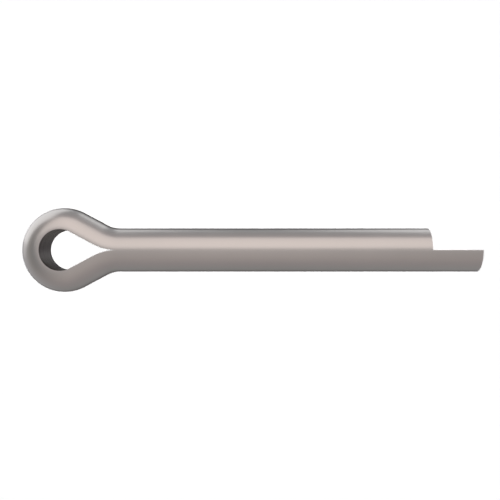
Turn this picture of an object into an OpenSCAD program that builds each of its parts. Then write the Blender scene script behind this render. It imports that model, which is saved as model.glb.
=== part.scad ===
// Split cotter pin with an extended prong.
//
// One length of half-round wire is bent double, flat side inward. The bend
// forms a teardrop eye, and the two legs lie flat against flat, so that
// together they make a round shank. The leg on the -Y side is longer.
//
// Frame: the shank runs along +X. The origin is on the shank's axis, in the
// plane under the eye where the straight shank begins. The eye lies flat in
// the XY plane, and +Z is up when the pin lies on a table.

/* [Shank] */
// Diameter of the shank, which is the two half-round legs together (mm)
shank_d = 3.5; // [2:0.1:4.5]
// Length of the short leg, from under the eye to its tip (mm)
shank_l = 25; // [8:0.5:80]
// How far the long leg stands out past the short one (mm)
prong_extra = 4; // [0:0.1:8]
// Hairline gap between the two flats (mm)
split_gap = 0.012; // [0.004:0.002:0.1]

/* [Eye] */
// Width of the eye across its outside (mm)
eye_w = 6.8; // [6.2:0.1:7.4]
// Length of the eye, from its outer end to the start of the shank (mm)
eye_l = 7.9; // [7.6:0.1:11]
// Radius of the flat side where each leg bends out of the eye into the shank (mm)
neck_r = 4; // [3:0.1:5]

/* [Hidden] */
$fn = 96;

// Radius of the half-round wire
wire_r = shank_d / 2;
// Radius of the flat side around the eye
eye_r = eye_w / 2 - wire_r;
// Distance of the eye's centre behind the start of the shank, as asked for
nominal_x = eye_l - eye_w / 2;
// Radius of the flat side at the neck: the one asked for, or less where a wide
// or short eye leaves too little room for a straight stretch before the neck
neck = min(neck_r, 0.9 * (nominal_x * nominal_x - eye_r * eye_r) / (2 * eye_r));
// Distance of the neck's centre from the shank's axis
neck_y = neck + split_gap / 2;

// Slope of each leg between the eye and the neck, in degrees: the line that
// touches the eye's circle on one side and the neck's circle on the other
nominal = asin((eye_r + neck) / norm([nominal_x, neck_y])) - atan2(neck_y, nominal_x);
// The slope is taken at the nearby thousandth of a degree where its sine and
// cosine are closest to round numbers of six figures, so that each stretch of
// wire starts exactly where the one before it ends
slopes = [for (k = [-200 : 200]) (round(nominal * 1000) + k) / 1000];
function unround(x) = abs(x * 1e6 - round(x * 1e6));
misfits = [for (a = slopes) unround(sin(a)) + unround(cos(a))];
slope = slopes[search(min(misfits), misfits)[0]];

// Distance of the eye's centre behind the start of the shank
eye_x = (eye_r + neck - neck_y * cos(slope)) / sin(slope);
// Length of the straight stretch between the eye and the neck
slant_l = eye_x * cos(slope) - neck_y * sin(slope);

// Section of the wire: half a disc, with its flat on x = 0 and its crown at +x
module half_round() {
  intersection() {
    circle(r = wire_r);
    translate([0, -2 * wire_r]) square([2 * wire_r, 4 * wire_r]);
  }
}

// A straight stretch that starts at the origin and runs along -y, with its
// flat on x = 0 and its crown at +x
module straight(len) {
  rotate([90, 0, 0]) linear_extrude(height = len) half_round();
}

// The bend of the eye about the origin, with its flat facing the centre
module eye_bend() {
  rotate_extrude(start = 90 - slope, angle = 180 + 2 * slope)
    translate([eye_r, 0]) half_round();
}

// The bend of the neck about the origin, with its crown facing the centre
module neck_bend() {
  rotate_extrude(start = 180, angle = slope)
    translate([neck, 0]) mirror([1, 0]) half_round();
}

// One leg, drawn from the eye's centre: the slanted stretch, the neck, and
// the straight leg of the given length
module leg(len) {
  rotate(90 - slope) translate([eye_r, 0, 0]) {
    straight(slant_l);
    translate([neck, -slant_l, 0]) {
      neck_bend();
      rotate(slope) translate([-neck, 0, 0]) straight(len);
    }
  }
}

// The whole pin: the eye, and a leg from each end of it
module cotter_pin() {
  color([0.66, 0.64, 0.62])
    translate([-eye_x, 0, 0]) {
      eye_bend();
      leg(shank_l);
      mirror([0, 1, 0]) leg(shank_l + prong_extra);
    }
}

cotter_pin();
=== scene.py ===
import math

import bpy
import numpy as np
from mathutils import Matrix, Vector


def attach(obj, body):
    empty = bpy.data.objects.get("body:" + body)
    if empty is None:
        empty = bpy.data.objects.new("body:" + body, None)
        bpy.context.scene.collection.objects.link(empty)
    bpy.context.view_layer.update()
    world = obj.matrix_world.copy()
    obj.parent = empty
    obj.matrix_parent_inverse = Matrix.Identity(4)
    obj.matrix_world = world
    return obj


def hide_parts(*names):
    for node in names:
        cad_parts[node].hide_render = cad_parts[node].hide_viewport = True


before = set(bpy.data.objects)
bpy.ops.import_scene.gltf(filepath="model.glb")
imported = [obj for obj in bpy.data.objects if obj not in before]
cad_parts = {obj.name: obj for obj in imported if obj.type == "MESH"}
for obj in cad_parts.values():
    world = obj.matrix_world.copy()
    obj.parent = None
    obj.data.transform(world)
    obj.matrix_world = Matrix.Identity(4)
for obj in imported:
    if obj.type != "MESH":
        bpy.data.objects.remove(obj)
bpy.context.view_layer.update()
MM = 0.001

# ---------------------------------------------------------------------------
# The pin's own sizes, in millimetres. The flat of the wire follows a line of
# two straight legs, two neck bends, two slanted stretches and the eye's bend.
# ---------------------------------------------------------------------------
WIRE_R = 1.75                  # radius of the half-round wire
SHORT_L = 25.0                 # short leg, from under the eye to its tip
LONG_L = 29.0                  # long leg
EYE_R = 1.65                   # radius of the flat around the eye
NECK_R = 4.0                   # radius of the flat at the neck
SLOPE = math.radians(28.113)   # slope of the wire between eye and neck
NECK_GAP = 0.006               # distance of the flats from the middle plane at the neck
LEG_GAP = 0.0005               # the same along the legs, which are drawn together
EDGE = 0.008                   # broken edge of the flat where it is bare
TIGHT_EDGE = 0.001             # the same edge where the legs press on each other
TIP_EDGE = 0.02                # broken edge around the cut tips
TIP_CORNER = 0.024             # broken edge of the flat where it meets a tip
TIP_PLACE = -100.0             # where the tips' faces lie along the wire's coordinates, apart from the wire

NECK_Y = NECK_R + NECK_GAP
EYE_X = (EYE_R + NECK_R - NECK_Y * math.cos(SLOPE)) / math.sin(SLOPE)
SLANT_L = EYE_X * math.cos(SLOPE) - NECK_Y * math.sin(SLOPE)
SHORT_LEG, TURN, LONG_LEG = 0, 1, 2   # the three lengths of wire on the unrolled sheet


def wire_path():
    """The line along the middle of the flat, from the short leg's tip round
    the eye to the long leg's tip, as stations: (x, y, outward x, outward y,
    length so far, length of wire, broken edge). Outward is the way from the
    flat to the crown."""
    rows = []

    def add(stations, part, joined=True):
        for x, y, nx, ny, edge in stations[1 if joined else 0:]:
            s = rows[-1][4] + math.hypot(x - rows[-1][0], y - rows[-1][1]) if rows else 0.0
            rows.append((x, y, nx, ny, s, part, edge))

    def half_pin(xs, side):
        """One leg with its neck and slant, from its tip towards the eye, on
        the +Y side or mirrored."""
        leg, neck, slant = [], [], []
        for x in xs:
            bare = min(max((x - SHORT_L - 0.05) / 0.6, 0.0), 1.0)
            leg.append((x, LEG_GAP, 0.0, 1.0, TIGHT_EDGE + (EDGE - TIGHT_EDGE) * bare))
        for a in np.linspace(0.0, SLOPE, 21):
            t = a / SLOPE
            y = NECK_Y - NECK_R * math.cos(a) - (NECK_GAP - LEG_GAP) * (1 - t) ** 2
            neck.append((-NECK_R * math.sin(a), y, math.sin(a), math.cos(a), TIGHT_EDGE + (EDGE - TIGHT_EDGE) * t))
        x, y = neck[-1][:2]
        for d in np.linspace(0.0, SLANT_L, 6):
            slant.append((x - d * math.cos(SLOPE), y + d * math.sin(SLOPE), math.sin(SLOPE), math.cos(SLOPE), EDGE))
        return [[(px, side * py, nx, side * ny, edge) for px, py, nx, ny, edge in part] for part in (leg, neck, slant)]

    def spread(*stops):
        """Places along a leg: (from, to, steps) one after the other."""
        xs = [stops[0][0]]
        for a, b, steps in stops:
            xs += list(np.linspace(a, b, steps + 1)[1:])
        return xs

    leg, neck, slant = half_pin(spread((SHORT_L, SHORT_L - 0.1, 1), (SHORT_L - 0.1, 0.0, 50)), 1)
    add(leg, SHORT_LEG, False)
    add(neck, TURN)
    add(slant, TURN)
    add([(-EYE_X + EYE_R * math.cos(b), EYE_R * math.sin(b), math.cos(b), math.sin(b), EDGE)
         for b in np.linspace(math.pi / 2 - SLOPE, 3 * math.pi / 2 + SLOPE, 119)], TURN)
    leg, neck, slant = half_pin(spread((LONG_L, SHORT_L + 0.65, 8), (SHORT_L + 0.65, SHORT_L + 0.05, 6), (SHORT_L + 0.05, 0.0, 50)), -1)
    add(slant[::-1], TURN)
    add(neck[::-1], TURN)
    add(leg[::-1], LONG_LEG)
    return rows


def section(edge, inset=0.0):
    """The half-round section with its two edges broken, drawn inset by that
    much: (outward, up, normal outward, normal up) around the loop. It goes up
    the flat, over the top edge, round the crown and back at the lower edge."""
    zc = math.sqrt((WIRE_R - edge) ** 2 - edge ** 2)
    turn = math.asin(edge / (WIRE_R - edge))
    r, big = edge - inset, WIRE_R - inset
    loop = [(inset, z, -1.0, 0.0) for z in np.linspace(-zc, zc, 9)[:-1]]
    for a in np.linspace(math.pi, math.pi / 2 - turn, 6)[:-1]:
        loop.append((edge + r * math.cos(a), zc + r * math.sin(a), math.cos(a), math.sin(a)))
    for a in np.linspace(math.pi / 2 - turn, turn - math.pi / 2, 73)[:-1]:
        loop.append((big * math.cos(a), big * math.sin(a), math.cos(a), math.sin(a)))
    for a in np.linspace(turn - math.pi / 2, -math.pi, 6)[:-1]:
        loop.append((edge + r * math.cos(a), r * math.sin(a) - zc, math.cos(a), math.sin(a)))
    return loop


def build_pin():
    path = wire_path()
    base = section(EDGE)
    n = len(base)
    around = [0.0]
    for i in range(n):
        a, b = base[i], base[(i + 1) % n]
        around.append(around[-1] + math.hypot(b[0] - a[0], b[1] - a[1]))
    starts = [next(k for k, row in enumerate(path) if row[5] == part) for part in (SHORT_LEG, TURN, LONG_LEG)]
    starts = [path[max(k - 1, 0)][4] for k in starts]

    verts, normals, faces, wire_uv, sheet_uv = [], [], [], [], []

    # the sheet: each length of wire unrolled in a row of its own, and the tips'
    # faces beside the middle row
    row_h = around[-1] + 0.35
    sheet = max(LONG_L + 0.5, 3 * row_h)

    def on_sheet(part, s, v):
        wide = 1.4 if part == TURN else 1.0
        return ((0.25 + (s - starts[part]) * wide) / sheet, (0.15 + part * row_h + v) / sheet)

    def ring(x, y, nx, ny, loop, lean=0.0):
        """One loop of points. Lean turns the normals from the wire's side
        towards +X, for the tips."""
        first = len(verts)
        c, s = math.cos(lean), math.sin(lean)
        for o, z, no, nz in loop:
            verts.append((MM * (x + o * nx), MM * (y + o * ny), MM * z))
            normals.append((no * nx * c + s, no * ny * c, nz * c))
        return first

    def face(corners, wire, spots, turned):
        if turned:
            corners, wire, spots = corners[::-1], wire[::-1], spots[::-1]
        faces.append(corners)
        wire_uv.extend(wire)
        sheet_uv.extend(spots)

    def band(a, b, s_a, s_b, part, turned):
        for i in range(n):
            j = (i + 1) % n
            wire = ((s_a, around[i]), (s_b, around[i]), (s_b, around[i + 1]), (s_a, around[i + 1]))
            face((a + i, b + i, b + j, a + j), wire, tuple(on_sheet(part, s, v) for s, v in wire), turned)

    # the wire
    rings = []
    for k, (x, y, nx, ny, s, part, edge) in enumerate(path):
        tip = k in (0, len(path) - 1)
        rings.append(ring(x - TIP_EDGE if tip else x, y, nx, ny, section(TIP_CORNER if tip else edge)))
    for k in range(len(path) - 1):
        band(rings[k], rings[k + 1], path[k][4], path[k + 1][4], path[k + 1][5], True)

    # the two tips: a broken edge, then the cut face
    for k, turned, sheet_at in ((0, False, 23.0), (len(path) - 1, True, 26.5)):
        x, y, nx, ny, s, part, edge = path[k]
        last, s_last = rings[k], s
        for a in np.linspace(0.0, math.pi / 2, 4)[1:]:
            nxt = ring(x - TIP_EDGE * (1 - math.sin(a)), y, nx, ny, section(TIP_CORNER, TIP_EDGE * (1 - math.cos(a))), a)
            s_next = s + TIP_EDGE * a * (1 if turned else -1)
            band(last, nxt, s_last, s_next, part, turned)
            last, s_last = nxt, s_next
        rim = section(TIP_CORNER, TIP_EDGE)
        mid = 4 * WIRE_R / (3 * math.pi)
        spot = lambda o, z: ((sheet_at + o) / sheet, (row_h + 2.2 + z) / sheet)
        grown = [(o, z) for o, z, no, nz in rim]
        for share in (0.8, 0.58, 0.36, 0.15):
            small = [(mid + (o - mid) * share, z * share) for o, z, no, nz in rim]
            nxt = ring(x, y, nx, ny, [(o, z, 0.0, 0.0) for o, z in small], math.pi / 2)
            for i in range(n):
                j = (i + 1) % n
                places = (grown[i], small[i], small[j], grown[j])
                face((last + i, nxt + i, nxt + j, last + j), tuple((TIP_PLACE + z, o) for o, z in places),
                     tuple(spot(o, z) for o, z in places), turned)
            last, grown = nxt, small
        hub = len(verts)
        verts.append((MM * x, MM * (y + mid * ny), 0.0))
        normals.append((1.0, 0.0, 0.0))
        for i in range(n):
            j = (i + 1) % n
            places = (grown[i], (mid, 0.0), grown[j])
            face((last + i, hub, last + j), tuple((TIP_PLACE + z, o) for o, z in places),
                 tuple(spot(o, z) for o, z in places), turned)

    mesh = bpy.data.meshes.new("pin_wire")
    mesh.from_pydata(verts, [], faces)
    for name, data in (("Wire", wire_uv), ("OFBake", sheet_uv)):
        layer = mesh.uv_layers.new(name=name)
        layer.uv.foreach_set("vector", np.array(data, np.float32).ravel())
    mesh.polygons.foreach_set("use_smooth", [True] * len(mesh.polygons))
    mesh.update()
    mesh.normals_split_custom_set_from_vertices(normals)
    obj = bpy.data.objects.new("pin_wire", mesh)
    bpy.context.scene.collection.objects.link(obj)
    return obj


# ---------------------------------------------------------------------------
# Materials
# ---------------------------------------------------------------------------
def math_node(nt, operation, *inputs):
    """A Math node on those inputs, each a number or another node's output."""
    made = nt.nodes.new("ShaderNodeMath")
    made.operation = operation
    for socket, given in zip(made.inputs, inputs):
        if isinstance(given, float):
            socket.default_value = given
        else:
            nt.links.new(given, socket)
    return made.outputs[0]


def steel():
    """Drawn and bent steel wire with a satin skin: very fine lines along the
    wire, a little unevenness in the gloss, and hardly any in the colour. The
    flat is coarser from the rolls, and the tips are sheared."""
    mat = bpy.data.materials.new("satin_steel")
    mat.use_nodes = True
    nt = mat.node_tree
    bsdf = nt.nodes["Principled BSDF"]
    bsdf.inputs["Metallic"].default_value = 1.0

    def node(kind, **values):
        made = nt.nodes.new(kind)
        for name, value in values.items():
            made.inputs[name.replace("_", " ")].default_value = value
        return made

    def calc(operation, *inputs):
        return math_node(nt, operation, *inputs)

    def streaks(along, around, detail, roughness):
        """Noise in millimetres along and around the wire."""
        stretch = node("ShaderNodeMapping", Scale=(along, around, 1.0))
        noise = node("ShaderNodeTexNoise", Scale=1.0, Detail=detail, Roughness=roughness)
        nt.links.new(wire.outputs["UV"], stretch.inputs["Vector"])
        nt.links.new(stretch.outputs["Vector"], noise.inputs["Vector"])
        return noise.outputs["Fac"]

    # where on the wire: the tips have a place of their own, and the flat comes
    # first on the way around
    wire = nt.nodes.new("ShaderNodeUVMap")
    wire.uv_map = "Wire"
    place_on = nt.nodes.new("ShaderNodeSeparateXYZ")
    nt.links.new(wire.outputs["UV"], place_on.inputs["Vector"])
    along, around = place_on.outputs["X"], place_on.outputs["Y"]
    tip = calc("LESS_THAN", along, TIP_PLACE / 2)
    flat = calc("MULTIPLY", calc("SUBTRACT", 1.0, tip), calc("LESS_THAN", around, 2 * WIRE_R - 3 * EDGE))

    # drawing lines all along the wire, and the rolls' wider lines on the flat
    lines = streaks(0.18, 26.0, 5.0, 0.6)
    rolled = streaks(0.03, 5.5, 4.0, 0.6)

    # the sheared tips: streaks the way the blade went, and duller beyond the
    # middle, where the metal tore
    sheared = streaks(5.0, 0.8, 4.0, 0.6)
    torn = streaks(4.5, 3.6, 5.0, 0.66)
    deep = node("ShaderNodeMapRange", From_Min=1.2, From_Max=1.5)
    nt.links.new(calc("ADD", around, sheared), deep.inputs["Value"])
    deep = calc("MULTIPLY", tip, deep.outputs["Result"])

    # soft patches from tumbling, two or three millimetres across
    place = nt.nodes.new("ShaderNodeTexCoord")
    patches = node("ShaderNodeTexNoise", Scale=420.0, Detail=4.0, Roughness=0.55)
    nt.links.new(place.outputs["Object"], patches.inputs["Vector"])

    gloss = node("ShaderNodeMapRange", From_Min=0.7, From_Max=1.3, To_Min=0.285, To_Max=0.315)
    nt.links.new(calc("ADD", lines, patches.outputs["Fac"]), gloss.inputs["Value"])
    on_flat = calc("MULTIPLY", flat, calc("SUBTRACT", rolled, 0.5))
    on_tip = calc("MULTIPLY", tip, calc("SUBTRACT", sheared, 0.5))
    on_torn = calc("MULTIPLY", deep, calc("SUBTRACT", torn, 0.5))
    rough = calc("MULTIPLY_ADD", on_flat, 0.35, gloss.outputs["Result"])
    rough = calc("MULTIPLY_ADD", tip, 0.03, rough)
    nt.links.new(calc("MULTIPLY_ADD", deep, 0.08, rough), bsdf.inputs["Roughness"])

    tone = nt.nodes.new("ShaderNodeValToRGB")
    tone.color_ramp.elements[0].position = 0.3
    tone.color_ramp.elements[0].color = (0.611, 0.598, 0.585, 1.0)
    tone.color_ramp.elements[1].position = 0.7
    tone.color_ramp.elements[1].color = (0.629, 0.614, 0.601, 1.0)
    nt.links.new(patches.outputs["Fac"], tone.inputs["Fac"])
    shade = calc("MULTIPLY_ADD", on_flat, -0.2, 1.0)
    shade = calc("MULTIPLY_ADD", on_tip, 0.25, calc("MULTIPLY_ADD", tip, -0.04, shade))
    shade = calc("MULTIPLY_ADD", on_torn, 0.35, calc("MULTIPLY_ADD", deep, -0.09, shade))
    shaded = nt.nodes.new("ShaderNodeVectorMath")
    shaded.operation = "SCALE"
    nt.links.new(tone.outputs["Color"], shaded.inputs[0])
    nt.links.new(shade, shaded.inputs["Scale"])
    nt.links.new(shaded.outputs["Vector"], bsdf.inputs["Base Color"])

    # height in millimetres
    height = calc("MULTIPLY", lines, 0.0004)
    height = calc("MULTIPLY_ADD", on_flat, 0.008, height)
    height = calc("MULTIPLY_ADD", on_tip, 0.02, height)
    height = calc("MULTIPLY_ADD", on_torn, 0.04, height)
    bump = node("ShaderNodeBump", Strength=1.0, Distance=MM)
    nt.links.new(height, bump.inputs["Height"])
    nt.links.new(bump.outputs["Normal"], bsdf.inputs["Normal"])
    return mat


CAMERA_AT = (10.548 * MM, 0.0, 57.15 * MM)
LAMP_AT = CAMERA_AT            # the table lamp stands still, at the lens of the first view
LAMP_SHARE = 0.5               # share of the floor's brightness under the lamp that the lamp gives
FLOOR_Z = -WIRE_R * MM


def pale_floor():
    """A white light table. The table lamp gives part of its brightness, and
    it glows more where that lamp's light falls off, so that it is evenly white
    apart from the pin's own shadow."""
    mat = bpy.data.materials.new("pale_floor")
    mat.use_nodes = True
    nt = mat.node_tree
    bsdf = nt.nodes["Principled BSDF"]
    bsdf.inputs["Base Color"].default_value = (0.8, 0.8, 0.8, 1.0)
    bsdf.inputs["Roughness"].default_value = 1.0
    bsdf.inputs["Specular IOR Level"].default_value = 0.0
    bsdf.inputs["Emission Color"].default_value = (1.0, 1.0, 1.0, 1.0)
    place = nt.nodes.new("ShaderNodeTexCoord")
    far = nt.nodes.new("ShaderNodeVectorMath")
    far.operation = "DISTANCE"
    far.inputs[1].default_value = LAMP_AT
    nt.links.new(place.outputs["Object"], far.inputs[0])
    steps = (("DIVIDE", LAMP_AT[2] - FLOOR_Z, None), ("POWER", None, 3.0), ("MULTIPLY_ADD", None, -LAMP_SHARE))
    last = far.outputs["Value"]
    for operation, first, second in steps:
        step = nt.nodes.new("ShaderNodeMath")
        step.operation = operation
        if first is not None:
            step.inputs[0].default_value = first
            nt.links.new(last, step.inputs[1])
        else:
            nt.links.new(last, step.inputs[0])
            step.inputs[1].default_value = second
        last = step.outputs[0]
    step.inputs[2].default_value = 1.012
    nt.links.new(last, bsdf.inputs["Emission Strength"])
    mat.cycles.emission_sampling = "NONE"
    return mat


pin = build_pin()
pin.data.materials.append(steel())
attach(pin, "root")
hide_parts("cotter_pin")


# ---------------------------------------------------------------------------
# Floor: a table that sweeps up all round, far behind the pin. The steel
# mirrors the studio and not the table.
# ---------------------------------------------------------------------------
def sweep():
    z0 = FLOOR_Z
    profile = [(0.05, z0), (0.3, z0), (0.85, z0)]
    profile += [(0.85 + 0.4 * math.sin(t), z0 + 0.4 * (1 - math.cos(t))) for t in np.linspace(0.0, math.pi / 2, 17)[1:]]
    profile += [(1.25, z0 + 0.8), (1.25, z0 + 1.2)]
    sides = 96
    verts, faces = [(0.0, 0.0, z0)], []
    for r, z in profile:
        verts += [(r * math.cos(2 * math.pi * k / sides), r * math.sin(2 * math.pi * k / sides), z) for k in range(sides)]
    for k in range(sides):
        j = (k + 1) % sides
        faces.append((0, 1 + k, 1 + j))
        for row in range(len(profile) - 1):
            a, b = 1 + row * sides, 1 + (row + 1) * sides
            faces.append((a + k, b + k, b + j, a + j))
    mesh = bpy.data.meshes.new("floor")
    mesh.from_pydata(verts, [], faces)
    mesh.polygons.foreach_set("use_smooth", [True] * len(mesh.polygons))
    obj = bpy.data.objects.new("floor", mesh)
    bpy.context.scene.collection.objects.link(obj)
    return obj


floor = sweep()
floor.data.materials.append(pale_floor())
floor.visible_glossy = False
floor.visible_diffuse = False
floor.visible_shadow = False

# ---------------------------------------------------------------------------
# Studio: a soft dome, one large softbox overhead towards the back, a low
# panel at the back on either side, and a small one past the eye
# ---------------------------------------------------------------------------
world = bpy.data.worlds.new("studio")
bpy.context.scene.world = world
world.use_nodes = True
world.cycles.sampling_method = "NONE"
world.cycles_visibility.diffuse = False
wn = world.node_tree
way = wn.nodes.new("ShaderNodeTexCoord")
split = wn.nodes.new("ShaderNodeSeparateXYZ")
wn.links.new(way.outputs["Generated"], split.inputs["Vector"])


def sky_math(operation, *inputs):
    return math_node(wn, operation, *inputs)


def sky_ramp(stops):
    """Brightness from overhead (0 degrees) down to straight below (180)."""
    made = wn.nodes.new("ShaderNodeValToRGB")
    wn.links.new(from_top, made.inputs["Fac"])
    while len(made.color_ramp.elements) < len(stops):
        made.color_ramp.elements.new(0.5)
    for element, (angle, colour) in zip(made.color_ramp.elements, stops):
        element.position = angle / 180.0
        element.color = colour + (1.0,)
    return made.outputs["Color"]


def sky_mix(share, one, other):
    made = wn.nodes.new("ShaderNodeMix")
    made.data_type = "RGBA"
    wn.links.new(share, made.inputs["Factor"])
    wn.links.new(one, next(s for s in made.inputs if s.name == "A" and s.type == "RGBA"))
    wn.links.new(other, next(s for s in made.inputs if s.name == "B" and s.type == "RGBA"))
    return next(s for s in made.outputs if s.type == "RGBA")


from_top = sky_math("DIVIDE", sky_math("ARCCOSINE", split.outputs["Z"]), math.pi)
level = sky_math("SQRT", sky_math("ADD", sky_math("ADD", sky_math("MULTIPLY", split.outputs["X"], split.outputs["X"]),
                                                  sky_math("MULTIPLY", split.outputs["Y"], split.outputs["Y"])), 1e-8))
across = sky_math("DIVIDE", split.outputs["X"], level)
side_share = sky_math("MULTIPLY", across, across)
back_share = sky_math("MULTIPLY_ADD", sky_math("DIVIDE", split.outputs["Y"], level), 0.5, 0.5)
TOP, BOTTOM = (0, (0.605, 0.55, 0.535)), (180, (0.006, 0.006, 0.007))
front = sky_ramp([TOP, (40, (0.515, 0.46, 0.44)), (62, (0.43, 0.385, 0.38)), (82, (0.38, 0.345, 0.345)), (105, (0.35, 0.335, 0.33)),
                  (130, (0.315, 0.315, 0.315)), (150, (0.135, 0.12, 0.115)), (165, (0.058, 0.054, 0.052)), BOTTOM])
back = sky_ramp([TOP, (40, (0.53, 0.465, 0.44)), (62, (0.45, 0.405, 0.40)), (82, (0.39, 0.36, 0.365)), (105, (0.36, 0.355, 0.36)),
                 (130, (0.33, 0.335, 0.345)), (150, (0.02, 0.014, 0.012)), (165, (0.0, 0.0, 0.0)), BOTTOM])
sides = sky_ramp([TOP, (40, (0.25, 0.255, 0.26)), (62, (0.265, 0.255, 0.245)), (82, (0.375, 0.36, 0.35)), (105, (0.49, 0.475, 0.48)),
                  (130, (0.55, 0.53, 0.55)), (150, (0.066, 0.056, 0.058)), (165, (0.026, 0.023, 0.024)), BOTTOM])
wn.links.new(sky_mix(side_share, sky_mix(back_share, front, back), sides), wn.nodes["Background"].inputs["Color"])


def softbox(name, place, across, up, size, brightness, colour):
    """A rectangular light of that brightness. It lies across and up, and
    shines to the side from which up is a quarter turn left of across."""
    light = bpy.data.lights.new(name, "AREA")
    light.shape = "RECTANGLE"
    light.size, light.size_y = size
    light.energy = brightness * math.pi * size[0] * size[1]
    light.color = colour
    obj = bpy.data.objects.new(name, light)
    across, up = Vector(across).normalized(), Vector(up).normalized()
    turn = Matrix((across, up, across.cross(up))).transposed().to_4x4()
    obj.matrix_world = Matrix.Translation(place) @ turn
    obj.visible_camera = False
    bpy.context.scene.collection.objects.link(obj)
    return obj


overhead = softbox("overhead", (0.07, 0.70, 0.50), (1, 0, 0), (0, 1, 0), (1.0, 1.25), 0.563, (1.0, 0.90, 0.85))
overhead.visible_diffuse = False
for name, azimuth, elevation, roll, size, brightness in (
        ("panel_left", 138.7, -20.5, -16.0, (0.976, 1.088), 0.65),
        ("panel_right", 40.0, -20.5, 16.0, (0.976, 1.088), 0.62),
        ("panel_end", 180.0, -22.0, 0.0, (0.192, 0.48), 0.19)):
    az, el, ro = math.radians(azimuth), math.radians(elevation), math.radians(roll)
    out = Vector((math.cos(el) * math.cos(az), math.cos(el) * math.sin(az), math.sin(el)))
    level = Vector((-math.sin(az), math.cos(az), 0.0))
    upright = out.cross(level)
    panel = softbox(name, 0.8 * out, math.cos(ro) * level + math.sin(ro) * upright, math.cos(ro) * upright - math.sin(ro) * level,
                    size, brightness, (1.0, 1.0, 1.0))
    panel.visible_diffuse = False

# the lamp at the lens, which lights the table only
lamp = bpy.data.lights.new("table_lamp", "POINT")
lamp.energy = LAMP_SHARE * 4 * (math.pi * (LAMP_AT[2] - FLOOR_Z)) ** 2 / 0.8
lamp.shadow_soft_size = 0.002
lamp_obj = bpy.data.objects.new("table_lamp", lamp)
lamp_obj.location = LAMP_AT
lamp_obj.visible_glossy = False
lamp_obj.visible_camera = False
bpy.context.scene.collection.objects.link(lamp_obj)

# ---------------------------------------------------------------------------
# Camera: straight down on the plane of the eye
# ---------------------------------------------------------------------------
cam_data = bpy.data.cameras.new("camera")
cam_data.sensor_width = 36.0
cam_data.lens = 50.544
cam_data.clip_start = 0.001
cam_data.clip_end = 10.0
cam = bpy.data.objects.new("camera", cam_data)
cam.location = CAMERA_AT
bpy.context.scene.collection.objects.link(cam)
bpy.context.scene.camera = cam
bpy.context.scene.view_settings.view_transform = "Standard"
bpy.context.scene.view_settings.look = "None"
